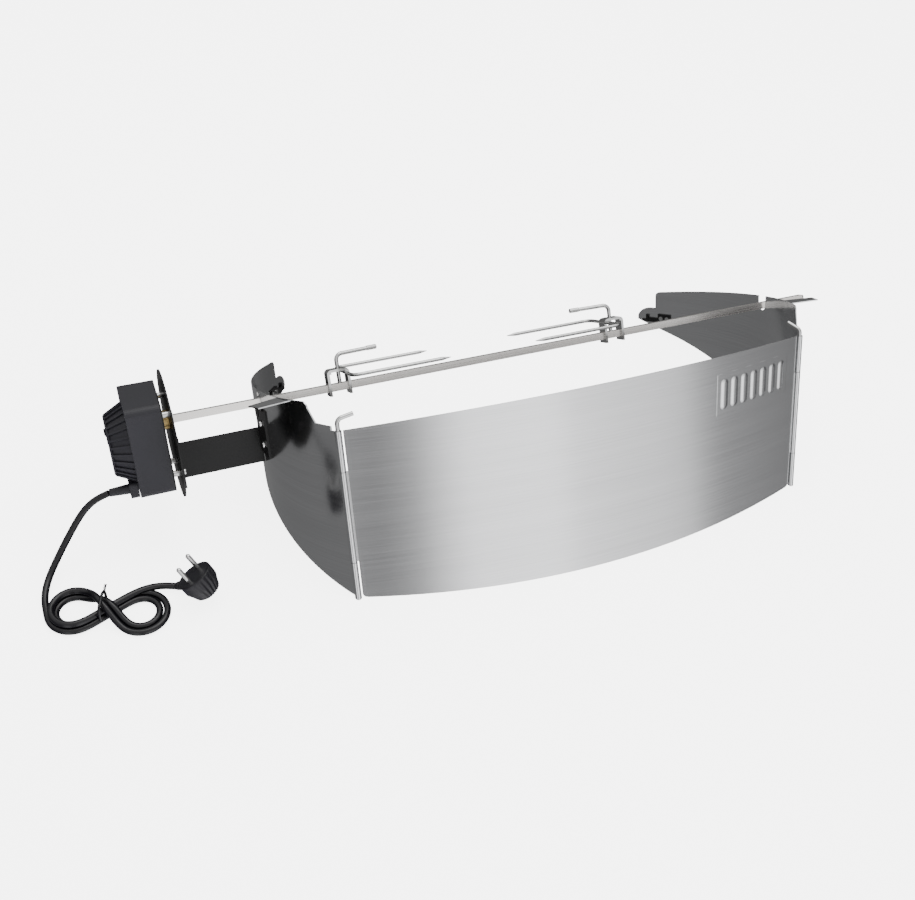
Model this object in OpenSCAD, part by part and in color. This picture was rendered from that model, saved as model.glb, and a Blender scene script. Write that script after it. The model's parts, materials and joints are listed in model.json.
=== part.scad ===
// Barbecue rotisserie kit: an open-backed wind shroud of three hinged sheet panels, a square
// spit with two forks, and a geared mains motor hung from the left wing on a bracket.
// Most sizes are given in the shroud's own frame, where the hinge pins stand upright;
// leaned() then tips that frame back so that the bottom edges lie flat on the ground.

/* [Shroud] */
// Distance between the two hinge pins
hinge_spacing = 541; // [440:1:640]
// Height of the front panel at the pins, along the pins
shroud_height = 185; // [150:1:225]
// How far the front panel bulges forwards of the pins
front_bulge = 37; // [20:1:60]
// Thickness of the stainless sheet
sheet = 1.2; // [0.8:0.1:2]
// Angle by which the panels lean back from upright, in degrees
lean = 22.4; // [14:0.1:28]
// Fall of the front panel's top edge towards the back, in degrees
top_fall = 10.9; // [0:0.1:18]
// Radius of a wing, seen from above
wing_radius = 247; // [200:1:300]
// Angle of a wing to the straight-back direction at its hinge, in degrees
wing_splay = 37; // [30:0.5:42]
// Angle to which a wing curls in at the back, in degrees
wing_curl = 32; // [20:0.5:38]
// Straight stretch after the curl, up to the rear edge
wing_tail = 23; // [5:1:40]
// Height of a wing's raised lip above the front panel's corner
lip_rise = 27.3; // [10:0.1:40]
// Fall of the raised lip towards the back, in degrees
lip_fall = 7.4; // [0:0.1:12]
// Length of the tab bent out of the lip
tab_length = 34; // [20:1:45]
// Width of the tab at its root
tab_root = 26; // [18:1:34]
// Length of the round tongue behind the rear edge
tongue_length = 27; // [15:1:35]
// Corner radius of the tongue
tongue_round = 17; // [8:1:24]
// Height of the tongue
tongue_height = 27; // [18:1:34]

/* [Hinges] */
// Diameter of a hinge pin
pin_d = 4.5; // [3:0.1:6]
// Radial clearance of a pin in its knuckles
pin_gap = 0.06; // [0.02:0.01:0.1]
// Height at which the front panel's knuckle starts
knuckle_low = 42; // [30:1:60]
// Height at which the front panel's knuckle ends
knuckle_high = 142; // [110:1:150]
// Gap between neighbouring knuckles
knuckle_gap = 0.6; // [0.4:0.1:1.5]
// Length of a pin's bent handle
pin_handle = 12; // [8:1:20]

/* [Spit] */
// Side of the square spit
spit_side = 8; // [5:0.1:10]
// Distance of the spit behind the hinge pins
spit_back = 131; // [100:1:150]
// Height of the spit's axis along the pins
spit_height = 183.4; // [150:0.1:200]
// Position of the spit's right tip from the middle
spit_tip = 381; // [340:1:420]
// Turn of the spit about its axis at rest, in degrees
spit_turn = -10; // [-45:0.5:45]
// Width of the notch in each wing
notch_width = 15; // [12:0.5:20]

/* [Forks] */
// Position of the left fork's outer leg from the middle
left_fork_x = -245; // [-260:1:-200]
// Position of the right fork's outer leg from the middle
right_fork_x = 117; // [60:1:200]
// Outside length of a clamp along the spit
clamp_length = 25; // [20:1:34]
// Width of a clamp across the spit
clamp_width = 15; // [12:1:24]
// Thickness of a clamp's strip
clamp_strip = 2.8; // [2:0.1:4]
// Height of a clamp's top above the spit's axis
clamp_top = 20; // [15:0.5:26]
// Diameter of a prong
prong_d = 4; // [3:0.1:6]
// Distance between the two prongs of a fork
prong_spread = 80; // [50:1:100]
// Height of the prongs above the spit's axis
prong_rise = 15.1; // [12:0.1:20]
// Length of a prong from its bend to its tip
prong_length = 110; // [70:1:130]
// Diameter of a clamp screw
screw_d = 4.5; // [3:0.1:6]
// Length of a clamp screw's handle
screw_handle = 48; // [30:1:60]

/* [Motor] */
// Thickness of the motor case along the spit
case_width = 33.5; // [32:0.5:45]
// Depth of the motor case
case_depth = 92; // [82:1:110]
// Height of the motor case
case_height = 95; // [88:1:120]
// Rise of the motor case's ridge above its shoulders
case_ridge = 12; // [0:1:20]
// Wall of the motor case
case_wall = 1.5; // [1.2:0.1:2.5]
// Outer corner radius of the motor case
case_corner = 9; // [5:0.5:14]
// Position of the case's inner side from the middle
case_side_x = -422; // [-460:0.5:-400]
// Height of the motor's axis along the pins
motor_height = 168; // [150:0.5:180]
// Depth of the ribbed end cap
cap_depth = 20; // [16:0.5:26]
// Radius of the end cap at the case
cap_base_r = 42; // [34:0.5:46]
// Radius of the end cap's outer face
cap_face_r = 31.5; // [29:0.5:33]
// Radius of the heat shield
shield_r = 67; // [50:1:80]
// Gap between the case and the heat shield
shield_gap = 7; // [3:0.5:10]
// Thickness of the heat shield and of the case's cover
plate = 1.5; // [1:0.1:3]

/* [Bracket] */
// Thickness of the bracket
bracket_t = 2.5; // [2:0.1:4]
// Distance of the bracket's arm behind the hinge pins
arm_back = 150; // [140:1:170]
// Height of the arm's lower edge along the pins
arm_low = 109; // [90:0.5:120]
// Height of the arm itself
arm_height = 40; // [30:1:46]

/* [Gears] */
// Module of the gears
gear_module = 1; // [0.8:0.05:1]
// Teeth of the two large gears
wheel_teeth = 30; // [24:2:30]
// Teeth of the two pinions
pinion_teeth = 10; // [10:1:10]
// Radial clearance of the shafts
shaft_gap = 0.05; // [0.02:0.01:0.1]

/* [Cord] */
// Diameter of the mains cord
cord_d = 7; // [6:0.1:8]
// Diameter of the plug's round body
plug_d = 37; // [35:0.5:39]

/* [Hidden] */
$fn = 64;
round_fn = 96;
hinge_x = hinge_spacing / 2;
pin_r = pin_d / 2;
bore_r = pin_r + pin_gap;
knuckle_r = bore_r + sheet;
front_r = (hinge_x * hinge_x + front_bulge * front_bulge) / (2 * front_bulge);
front_half_angle = asin(hinge_x / front_r);
// Centre of a wing's arc, for the right wing
arc_x = hinge_x - wing_radius * cos(wing_splay);
arc_y = wing_radius * sin(wing_splay);
// Where the arc ends and the straight tail starts
tail_x = arc_x + wing_radius * cos(wing_curl);
tail_y = arc_y + wing_radius * sin(wing_curl);
rear_y = tail_y + wing_tail * cos(wing_curl);
rear_x = tail_x - wing_tail * sin(wing_curl);
tongue_y = rear_y + tongue_length * cos(wing_curl);
// Height of the bottom edge's plane behind the pins, and of the two top planes
function top_at(y) = shroud_height - y * tan(top_fall);
function lip_at(y) = shroud_height + lip_rise - y * tan(lip_fall);
function floor_at(y) = y * tan(lean);
// Heading of a wing, and its angle on the arc, at a distance y behind the pins
function arc_angle(y) = asin((y - arc_y) / wing_radius);
function wing_x(y) = arc_x + wing_radius * cos(arc_angle(y));
corner_r = 4.5;
shoulder_rise = 3.5;
shoulder_start = 7.3;
shoulder_end = 24;
lip_start = 32;
lip_round = 6;
tab_y = 68.5;
tongue_top = rear_y * tan(lean) + tongue_height;
notch_bottom = spit_height - spit_side / sqrt(2) - 0.5;
hook_y = rear_y - 14;
big = 2000;
// Motor and drive train, along the spit
case_x = case_side_x - plate - case_width;
shield_x = case_side_x + shield_gap;
flange_x = shield_x + plate;
cap_x = case_x - cap_depth;
case_low = motor_height - case_height / 2;
case_front = spit_back - case_depth / 2;
socket_r = 7.5;
bush_r = socket_r + 2.5;
rocker_proud = 1.7;
socket_bore = spit_side + 0.2;
socket_depth = 24;
socket_mouth = flange_x + bracket_t + 0.4;
spit_start = socket_mouth - 15;
centre_gap = gear_module * (wheel_teeth + pinion_teeth) / 2;
axis_drop = spit_height - motor_height;
idler_y = spit_back - sqrt(centre_gap * centre_gap - axis_drop * axis_drop / 4);
idler_z = (spit_height + motor_height) / 2;
to_idler = atan2(idler_z - spit_height, idler_y - spit_back);
to_rotor = atan2(motor_height - idler_z, spit_back - idler_y);
bridge_x = case_x + 8;
low_gear_x = bridge_x + 3;
gear_width = 6;
high_gear_x = low_gear_x + gear_width + 2.5;
idler_shaft_r = 2;
rotor_shaft_r = 1.5;
rotor_r = 12;
can_r = 27;
can_x = cap_x + 12;
spacer_r = 3.2;
spacer_spots = [[-27, -34], [9, -34], [-32, 32], [32, 32]];
screw_r = 1.5;
gland_y = case_front + 41;
gland_z = case_low - 1.5;
gland_side = 18;
gland_depth = 9;
relief_r = 5.5;
relief_length = 20;
// The part's origin is the middle of the box around it, on the ground
x_low = cap_x - rocker_proud;
x_high = spit_tip;
y_low = -front_bulge * cos(lean) - (front_bulge * tan(lean)) * sin(lean);
y_high = (tongue_y - tongue_round) * cos(lean) + (tongue_top - tongue_round) * sin(lean)
    + tongue_round;
shift_x = -(x_low + x_high) / 2;
shift_y = -(y_low + y_high) / 2;
// Colours
steel = [0.74, 0.75, 0.76];
bright = [0.86, 0.86, 0.85];
black = [0.13, 0.13, 0.15];
brass = [0.78, 0.62, 0.33];

// Frames ---------------------------------------------------------------------------------

// Moves the middle of the hinge line to its place and tips the shroud's frame back
module leaned() {
    translate([shift_x, shift_y, 0]) rotate([-lean, 0, 0]) children();
}

// Keeps what lies above the ground
module above_ground() {
    intersection() {
        leaned() children();
        translate([-big / 2, -big / 2, 0]) cube([big, big, big]);
    }
}

// Puts a piece on the spit's axis at x, with its own z axis square to the spit's top face
module on_spit(x) {
    translate([x, spit_back, spit_height]) rotate([spit_turn, 0, 0]) children();
}

// A cylinder along x
module rod_x(x, y, z, r, length) {
    translate([x, y, z]) rotate([0, 90, 0]) cylinder(r = r, h = length);
}

// A mirrored copy for the left side
module sided(side) {
    mirror([side < 0 ? 1 : 0, 0, 0]) children();
}

// Panels ---------------------------------------------------------------------------------

// The half-space above a plane that falls backwards from height z0 at the pins
module above_plane(z0, fall) {
    translate([0, 0, z0]) rotate([-fall, 0, 0])
        translate([-big / 2, -big / 2, 0]) cube([big, big, big]);
}

module knuckle(z0, z1) {
    difference() {
        translate([0, 0, z0]) cylinder(r = knuckle_r, h = z1 - z0);
        translate([0, 0, z0 - 1]) cylinder(r = bore_r, h = z1 - z0 + 2);
    }
}

// A flat strip that joins a panel's sheet to its knuckle
module knuckle_bridge(z0, z1, from, to) {
    translate([0, 0, z0]) linear_extrude(z1 - z0) hull() {
        translate(from) circle(r = sheet / 2, $fn = 16);
        translate(to) circle(r = sheet / 2, $fn = 16);
    }
}

front_edge = knuckle_r + 1.4;

module front_arc() {
    difference() {
        translate([0, front_r - front_bulge]) circle(r = front_r, $fn = 360);
        translate([0, front_r - front_bulge]) circle(r = front_r - sheet, $fn = 360);
        translate([-big / 2, 0]) square([big, big]);
        for (side = [-1, 1]) translate([side * (hinge_x - front_edge + big / 2), 0])
            square([big, big], center = true);
    }
}

module front_panel() {
    edge_y = -sqrt(front_r * front_r - pow(hinge_x - front_edge, 2)) + front_r - front_bulge;
    color(steel) above_ground() difference() {
        union() {
            translate([0, 0, -60]) linear_extrude(shroud_height + 100) front_arc();
            for (side = [-1, 1]) sided(side) {
                translate([hinge_x, 0, 0]) knuckle(knuckle_low, knuckle_high);
                knuckle_bridge(knuckle_low, knuckle_high,
                    [hinge_x - front_edge - 0.3, edge_y + sheet / 2],
                    [hinge_x - bore_r - sheet / 2, -0.4]);
            }
        }
        above_plane(shroud_height, top_fall);
        // The two bottom corners are rounded
        for (side = [-1, 1]) sided(side)
            translate([hinge_x - front_edge - corner_r, 5, corner_r - 0.5]) rotate([90, 0, 0])
                linear_extrude(20) difference() {
                    translate([0, -corner_r - 2]) square(corner_r + 2);
                    circle(r = corner_r + 0.2);
                }
        for (side = [-1, 1]) translate([side * hinge_x, 0, -1])
            cylinder(r = bore_r, h = shroud_height + 10);
    }
}

// Outline of a wing seen from above: an arc, then a straight tail and the tongue's length
module wing_plan() {
    difference() {
        union() {
            intersection() {
                difference() {
                    translate([arc_x, arc_y]) circle(r = wing_radius, $fn = 240);
                    translate([arc_x, arc_y]) circle(r = wing_radius - sheet, $fn = 240);
                }
                translate([arc_x, arc_y]) polygon([[0, 0],
                    2 * wing_radius * [cos(wing_splay), -sin(wing_splay)],
                    [2 * wing_radius, 0],
                    2 * wing_radius * [cos(wing_curl), sin(wing_curl)]]);
            }
            translate([tail_x, tail_y]) rotate(wing_curl)
                translate([-sheet, -0.01]) square([sheet, wing_tail + tongue_length]);
        }
        translate([hinge_x, 0]) circle(r = bore_r + 0.2);
    }
}

// Side view of what is kept above the front shoulder and behind it, as (y, z) points
module wing_side() {
    far = rear_y + 0.01;
    shoulder = shroud_height + shoulder_rise;
    corner_z = lip_at(lip_start) - lip_round;
    polygon([[-20, -60], [far, -60], [far, lip_at(far) - lip_round],
        [far - lip_round, lip_at(far)], [lip_start + lip_round, lip_at(lip_start)],
        [lip_start, corner_z], [shoulder_end, shoulder], [shoulder_start, shoulder],
        [shoulder_start, shroud_height - 1], [bore_r + 0.2, shroud_height - 1],
        [bore_r + 0.2, shroud_height], [-20, shroud_height]]);
    for (spot = [[lip_start + lip_round, corner_z], [far - lip_round, lip_at(far) - lip_round]])
        translate(spot) circle(r = lip_round, $fn = 48);
}

// The tongue behind the rear edge, round at its upper corner
module tongue_side() {
    r = tongue_round;
    translate([tongue_y - r, tongue_top - r]) circle(r = r);
    translate([rear_y - 1, 0]) square([tongue_y - r - rear_y + 1, tongue_top]);
    translate([rear_y - 1, 0]) square([tongue_y - rear_y + 1, tongue_top - r]);
}

// Extrudes a side view, drawn as (y, z), across the whole width of a wing
module across(low, high) {
    translate([low, 0, 0]) rotate([90, 0, 90]) linear_extrude(high - low) children();
}

// The tab: a flat plate bent out of the lip, square to the wing
module wing_tab() {
    turn = arc_angle(tab_y);
    narrow = tab_root * 0.39;
    translate([wing_x(tab_y), tab_y, lip_at(tab_y)]) rotate([-lip_fall, 0, 0]) rotate(turn)
        translate([-sheet * 0.8, 0, -sheet]) linear_extrude(sheet)
            polygon([[0, -tab_root / 2], [tab_length, -narrow], [tab_length, narrow],
                [0, tab_root / 2]]);
}

module wing(side) {
    color(steel) above_ground() sided(side) difference() {
        union() {
            intersection() {
                translate([0, 0, -60]) linear_extrude(shroud_height + 120) wing_plan();
                across(0, 400) union() {
                    wing_side();
                    tongue_side();
                }
            }
            wing_tab();
            translate([hinge_x, 0, 0]) {
                knuckle(-20, knuckle_low - knuckle_gap);
                knuckle(knuckle_high + knuckle_gap, shroud_height);
            }
        }
        // Relief for the front panel's knuckle
        translate([hinge_x, 0, knuckle_low - knuckle_gap])
            cylinder(r = knuckle_r + 0.5, h = knuckle_high - knuckle_low + 2 * knuckle_gap);
        // Spit notch, round at its bottom
        translate([0, spit_back, 0]) {
            rod_x(0, 0, notch_bottom + notch_width / 2, notch_width / 2, 400);
            translate([0, -notch_width / 2, notch_bottom + notch_width / 2])
                cube([400, notch_width, 60]);
        }
        on_tail() for (spot = rivet_spots) rod_x(-1, spot[0], spot[1], rivet_hole_r, sheet + 2);
        if (side < 0) for (spot = wing_screw_spots)
            rod_x(hinge_x, spot[0], spot[1], wing_screw_r + 0.05, 100);
    }
}

module left_wing() { wing(-1); }
module right_wing() { wing(1); }

// A removable hinge pin: a straight shaft with its top bent over as a handle
module hinge_pin(side, turn, bend, above) {
    r = 6;
    low = 8;
    top = shroud_height + above;
    color(bright) leaned() sided(side) translate([hinge_x, 0, 0]) rotate(turn) {
        translate([0, 0, low]) cylinder(r = pin_r, h = top - low);
        translate([0, 0, top - 0.5]) cylinder(r = pin_r + 0.1, h = 1);
        translate([-r, 0, top]) rotate([90, 0, 0])
            rotate_extrude(angle = bend) translate([r, 0]) circle(r = pin_r);
        translate([-r, 0, top]) rotate([0, -bend, 0]) translate([r, 0, 0]) {
            cylinder(r = pin_r, h = pin_handle);
            translate([0, 0, -0.5]) cylinder(r = pin_r + 0.1, h = 1);
        }
    }
}

module left_hinge_pin() { hinge_pin(-1, 0, 80, 7); }
module right_hinge_pin() { hinge_pin(1, -62, 65, 3); }

// A black hook riveted inside each wing, at the rear corner near the ground
hook_low = floor_at(rear_y + 14) + 1.5;
hook_reach = 20;
rivet_spots = [[-18, 6], [-9, 6]];
rivet_r = 1.55;
rivet_hole_r = rivet_r + 0.05;

// Places a piece against the inner side of a wing's tail: y runs along it from the rear edge
module on_tail() {
    translate([tail_x, tail_y, hook_low]) rotate(wing_curl)
        translate([-sheet, wing_tail, 0]) children();
}

module rear_hook(side) {
    color(black) leaned() sided(side) on_tail() difference() {
        translate([-2, 0, 0]) rotate([90, 0, 90]) linear_extrude(2) {
            translate([0.5 - wing_tail, 0]) square([wing_tail - 4.5, 12]);
            translate([-6, 0]) square([hook_reach, 6]);
            translate([hook_reach - 6, 0]) square([6, 3]);
            translate([hook_reach - 10, 5]) square([4, 5]);
        }
        for (spot = rivet_spots) rod_x(-3, spot[0], spot[1], rivet_hole_r, 4);
    }
}

module hook_rivets(side) {
    color(bright) leaned() sided(side) on_tail() for (spot = rivet_spots) {
        rod_x(-2.01, spot[0], spot[1], rivet_r, sheet + 2.02);
        rod_x(-3, spot[0], spot[1], 3, 1);
        rod_x(sheet, spot[0], spot[1], 3, 1);
    }
}

module left_rear_hook() { rear_hook(-1); }
module right_rear_hook() { rear_hook(1); }
module left_hook_rivets() { hook_rivets(-1); }
module right_hook_rivets() { hook_rivets(1); }

// Spit and forks --------------------------------------------------------------------------

module spit_rod() {
    tip = 3;
    color(bright) leaned() on_spit(0) difference() {
        translate([spit_start, -spit_side / 2, -spit_side / 2])
            cube([spit_tip - spit_start, spit_side, spit_side]);
        for (turn = [0 : 90 : 270]) rotate([turn, 0, 0])
            translate([spit_tip - tip, -spit_side, spit_side / 2]) rotate([0, 30, 0])
                cube([3 * tip, 2 * spit_side, spit_side]);
    }
}

// Side view of a clamp: an upside-down U bent from strip
module clamp_side(length) {
    low = -spit_side - 0.5;
    bend = 5;
    difference() {
        union() {
            translate([bend, clamp_top - bend]) circle(r = bend, $fn = 48);
            translate([length - bend, clamp_top - bend]) circle(r = bend, $fn = 48);
            translate([bend, low]) square([length - 2 * bend, clamp_top - low]);
            translate([0, low]) square([length, clamp_top - bend - low]);
        }
        translate([clamp_strip, low - 1]) square([length - 2 * clamp_strip,
            clamp_top - clamp_strip - low - 1]);
        translate([clamp_strip + 2, low]) square([length - 2 * clamp_strip - 4,
            clamp_top - clamp_strip - low]);
    }
}

// Places a fork: inward is the direction of its prongs, 1 for the left fork
module fork_place(x, inward) {
    leaned() on_spit(x) mirror([inward < 0 ? 1 : 0, 0, 0]) children();
}

clamp_hole = spit_side + 0.2;
cross_x = clamp_length - clamp_strip - prong_d / 2;
screw_x = clamp_length * 0.56;

module fork_clamp(x, inward) {
    color(bright) fork_place(x, inward) difference() {
        rotate([90, 0, 0]) translate([0, 0, -clamp_width / 2]) linear_extrude(clamp_width)
            clamp_side(clamp_length);
        translate([-1, -clamp_hole / 2, -clamp_hole / 2])
            cube([clamp_length + 2, clamp_hole, clamp_hole]);
        translate([screw_x, 0, 0]) cylinder(r = screw_d / 2 + 0.05, h = clamp_top + 5);
        translate([cross_x, 0, prong_rise]) rotate([90, 0, 0])
            cylinder(r = prong_d / 2 + 0.02, h = clamp_width + 2, center = true);
    }
}

// Two prongs and their cross part, bent from one round wire, with sharp tips
module fork_prongs(x, inward) {
    bend = 9;
    r = prong_d / 2;
    half = prong_spread / 2;
    tip = 10;
    color(bright) fork_place(x, inward) translate([cross_x, 0, prong_rise]) {
        rotate([90, 0, 0]) translate([0, 0, bend - half])
            cylinder(r = r, h = 2 * (half - bend));
        for (side = [-1, 1]) mirror([0, side < 0 ? 1 : 0, 0]) {
            translate([bend, half - bend, 0]) rotate([0, 0, 90])
                rotate_extrude(angle = 90) translate([bend, 0]) circle(r = r);
            rod_x(bend, half, 0, r, prong_length - bend - tip);
            translate([prong_length - tip, half, 0]) rotate([0, 90, 0])
                cylinder(r1 = r, r2 = 0.4, h = tip);
        }
    }
}

// The clamp screw: a threaded stem bent over into a handle with a knurled end
module fork_screw(x, inward) {
    bend = 7;
    r = screw_d / 2;
    high = 35;
    grip = 11;
    color(bright) fork_place(x, inward) translate([screw_x, 0, 0]) rotate([0, 0, 8]) {
        translate([0, 0, spit_side / 2 + 0.05]) cylinder(r = r, h = high - bend - spit_side / 2);
        translate([bend, 0, high - bend]) rotate([90, 0, 0]) mirror([1, 0, 0])
            rotate_extrude(angle = 90) translate([bend, 0]) circle(r = r);
        translate([0, 0, high - bend - 0.5]) cylinder(r = r + 0.1, h = 1);
        rod_x(bend, 0, high, r, screw_handle - grip - bend);
        rod_x(bend - 0.5, 0, high, r + 0.1, 1);
        rod_x(screw_handle - grip - 0.05, 0, high, r + 0.3, grip);
    }
}

module left_fork_clamp() { fork_clamp(left_fork_x, 1); }
module right_fork_clamp() { fork_clamp(right_fork_x, -1); }
module left_fork_prongs() { fork_prongs(left_fork_x, 1); }
module right_fork_prongs() { fork_prongs(right_fork_x, -1); }
module left_fork_screw() { fork_screw(left_fork_x, 1); }
module right_fork_screw() { fork_screw(right_fork_x, -1); }

// Motor housing ---------------------------------------------------------------------------

// Outline of the case as (y, z) points from the motor's axis, inset by a wall
module case_outline(inset) {
    r = case_corner - inset;
    across_y = case_depth / 2 - case_corner;
    up = case_height / 2 - case_corner;
    hull() {
        for (side = [-1, 1]) {
            translate([side * across_y, -up]) circle(r = r, $fn = 32);
            translate([side * across_y, up]) circle(r = r, $fn = 32);
        }
        translate([0, up + case_ridge]) circle(r = r, $fn = 32);
    }
}

// Extrudes an outline around the motor's axis, along the spit from x
module along_motor(x, length) {
    translate([x, spit_back, motor_height]) rotate([90, 0, 90]) linear_extrude(length)
        children();
}

module screw_holes(x, length, r) {
    for (spot = spacer_spots) rod_x(x, spit_back + spot[0], motor_height + spot[1], r, length);
}

module motor_case() {
    inner = case_width - case_wall;
    color(black) leaned() {
        difference() {
            along_motor(case_x, case_width) case_outline(0);
            along_motor(case_x + case_wall, case_width) case_outline(case_wall);
            rod_x(case_x - 1, spit_back, motor_height, can_r + 3, 5);
        }
        difference() {
            screw_holes(case_x + case_wall, inner, 4);
            screw_holes(case_x + case_wall + 12, inner, screw_r + 0.05);
        }
    }
}

module case_cover() {
    color(black) leaned() difference() {
        along_motor(case_side_x - plate, plate) case_outline(0);
        rod_x(case_side_x - plate - 1, spit_back, spit_height, bush_r, plate + 2);
        screw_holes(case_side_x - plate - 1, plate + 2, screw_r + 0.05);
    }
}

// The end cap: a hollow, ribbed, tapering cup with a window for the rocker switch
rib_count = 28;
switch_y = 0;
switch_z = 10;
switch_wide = 20;
switch_high = 13;

module motor_cap() {
    taper = (cap_base_r - cap_face_r) / cap_depth;
    color(black) leaned() translate([case_x, spit_back, motor_height]) rotate([0, -90, 0])
        difference() {
            union() {
                cylinder(r1 = cap_base_r - 1.5, r2 = cap_face_r - 1.5, h = cap_depth - 1,
                    $fn = round_fn);
                translate([0, 0, cap_depth - 2])
                    cylinder(r1 = cap_face_r + taper, r2 = cap_face_r - 1, h = 2, $fn = round_fn);
                for (i = [0 : rib_count - 1]) rotate(i * 360 / rib_count)
                    rotate([90, 0, 0]) translate([0, 0, -1]) linear_extrude(2)
                        polygon([[can_r + 7, 0], [cap_base_r, 0],
                            [cap_face_r + taper, cap_depth - 1], [can_r + 3, cap_depth - 1]]);
            }
            translate([0, 0, -1]) cylinder(r1 = cap_base_r - 3.5, r2 = cap_face_r - 3.5,
                h = cap_depth - 1, $fn = round_fn);
            translate([switch_z - switch_high / 2, switch_y - switch_wide / 2, cap_depth - 5])
                cube([switch_high, switch_wide, 9]);
            translate([gland_z - motor_height - gland_side / 2 - 0.1,
                gland_y - spit_back - gland_side / 2 - 0.1, -1])
                cube([gland_side + 0.2, gland_side + 0.2, gland_depth + 1.2]);
        }
    color(black) leaned() difference() {
        for (side = [-1, 1]) switch_place() translate([-switch_back + 1, side * 11.5 - 1.2, -3])
            cube([6, 2.4, 6]);
        switch_place() rotate([90, 0, 0]) cylinder(r = 1, h = 40, center = true);
    }
}

// The rocker turns on a pin across the cap's window
switch_gap = 0.5;
switch_back = 4;

module switch_place() {
    translate([cap_x + switch_back, spit_back + switch_y, motor_height + switch_z]) children();
}

module rocker_switch() {
    high = switch_high / 2 - switch_gap;
    color(black) leaned() switch_place() difference() {
        rotate([90, 0, 0]) translate([0, 0, -switch_wide / 2 + switch_gap])
            linear_extrude(switch_wide - 2 * switch_gap) polygon([[2, -high + 1.5],
                [-switch_back - 0.5, -high + 0.6], [-switch_back + 0.7, 0],
                [-switch_back - rocker_proud, high - 0.8], [2, high - 1.5]]);
        rotate([90, 0, 0]) cylinder(r = 1.05, h = switch_wide + 2, center = true);
    }
}

module switch_pin() {
    color(bright) leaned() switch_place() rotate([90, 0, 0])
        cylinder(r = 1, h = switch_wide + 4, center = true);
}

module heat_shield() {
    color(black) leaned() difference() {
        rod_x(shield_x, spit_back, motor_height, shield_r, plate, $fn = round_fn);
        rod_x(shield_x - 1, spit_back, spit_height, bush_r + 0.5, plate + 2);
        screw_holes(shield_x - 1, plate + 2, screw_r + 0.05);
    }
}

module shield_spacers() {
    color(bright) leaned() difference() {
        screw_holes(case_side_x, shield_gap, spacer_r);
        screw_holes(case_side_x - 1, shield_gap + 2, screw_r + 0.05);
    }
}

module cover_screws() {
    color(bright) leaned() for (i = [0 : 3]) {
        seat = i < 2 ? flange_x + bracket_t : flange_x;
        spot = spacer_spots[i];
        start = case_side_x - plate - 12;
        rod_x(start, spit_back + spot[0], motor_height + spot[1], screw_r, seat - start + 0.5);
        rod_x(seat, spit_back + spot[0], motor_height + spot[1], 3, 1.8);
    }
}

// Bracket: a flange on the motor, an arm, and a flange on the outside of the left wing
flange_low = motor_height - 48;
flange_high = motor_height + 6;
wing_flange_low = 123;
wing_flange_high = 176;
wing_flange_front = 117;
wing_screw_spots = [[128, 136], [128, 160]];
wing_screw_r = 2;

module motor_bracket() {
    arm_end = -wing_x(arm_back) - 0.5;
    color(black) leaned() difference() {
        union() {
            translate([flange_x, spit_back - 38, flange_low])
                cube([bracket_t, arm_back - spit_back + 38, flange_high - flange_low]);
            translate([flange_x, arm_back - bracket_t, arm_low])
                cube([arm_end - flange_x, bracket_t, arm_height]);
            intersection() {
                translate([-arc_x, arc_y, wing_flange_low]) difference() {
                    cylinder(r = wing_radius + bracket_t, h = wing_flange_high - wing_flange_low,
                        $fn = 240);
                    translate([0, 0, -1]) cylinder(r = wing_radius, h = 200, $fn = 240);
                }
                translate([-big, wing_flange_front, 0])
                    cube([big - 100, arm_back - wing_flange_front, big]);
            }
            bracket_hook();
        }
        screw_holes(flange_x - 1, bracket_t + 2, screw_r + 0.05);
        for (spot = wing_screw_spots)
            rod_x(-wing_x(spot[0]) - 3 * bracket_t, spot[0], spot[1], wing_screw_r + 0.05, 40);
    }
}

// A small J-shaped hook behind the wing flange's top
module bracket_hook() {
    x = -wing_x(arm_back) - bracket_t - 0.3;
    r = 7;
    translate([x, arm_back - 8, wing_flange_high - 6]) rotate([90, 0, 90])
        linear_extrude(bracket_t) difference() {
            union() {
                circle(r = r);
                translate([-r, 0]) square([4, 9]);
                translate([r - 4, -8]) square([6, 8]);
            }
            circle(r = r - 3.5);
            translate([-r + 3.5, 0]) square([2 * r - 3.5, 12]);
        }
}

module bracket_screws() {
    color(bright) leaned() for (spot = wing_screw_spots) {
        outer = -wing_x(spot[0]) - bracket_t - 0.4;
        rod_x(outer, spot[0], spot[1], wing_screw_r, bracket_t + sheet + 3);
        rod_x(outer - 1.6, spot[0], spot[1], 3.6, 1.6);
        rod_x(outer + bracket_t + sheet + 0.9, spot[0], spot[1], 3.4, 2.2, $fn = 6);
    }
}

// Drive train -----------------------------------------------------------------------------

// A spur gear around the origin with a tooth centred on the angle phase
module gear_2d(teeth, phase) {
    pitch_r = gear_module * teeth / 2;
    pitch = PI * gear_module;
    root = pitch_r - 1.25 * gear_module;
    circle(r = root + 0.05, $fn = 2 * teeth);
    for (i = [0 : teeth - 1]) rotate(phase + i * 360 / teeth)
        polygon([[root - 0.2, -0.28 * pitch], [pitch_r + 0.9 * gear_module, -0.11 * pitch],
            [pitch_r + 0.9 * gear_module, 0.11 * pitch], [root - 0.2, 0.28 * pitch]]);
}

module gear(x, y, z, teeth, phase, bore) {
    translate([x, y, z]) rotate([90, 0, 90]) difference() {
        linear_extrude(gear_width) gear_2d(teeth, phase);
        translate([0, 0, -1]) cylinder(r = bore, h = gear_width + 2);
    }
}

module output_gear() {
    color(brass) leaned() gear(high_gear_x, spit_back, spit_height, wheel_teeth, to_idler,
        idler_shaft_r + shaft_gap);
}

module drive_socket() {
    start = high_gear_x + gear_width;
    color(bright) leaned() difference() {
        rod_x(start, spit_back, spit_height, socket_r, socket_mouth - start);
        on_spit(0) translate([spit_start - 1, -clamp_hole / 2, -clamp_hole / 2])
            cube([100, clamp_hole, clamp_hole]);
    }
}

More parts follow.
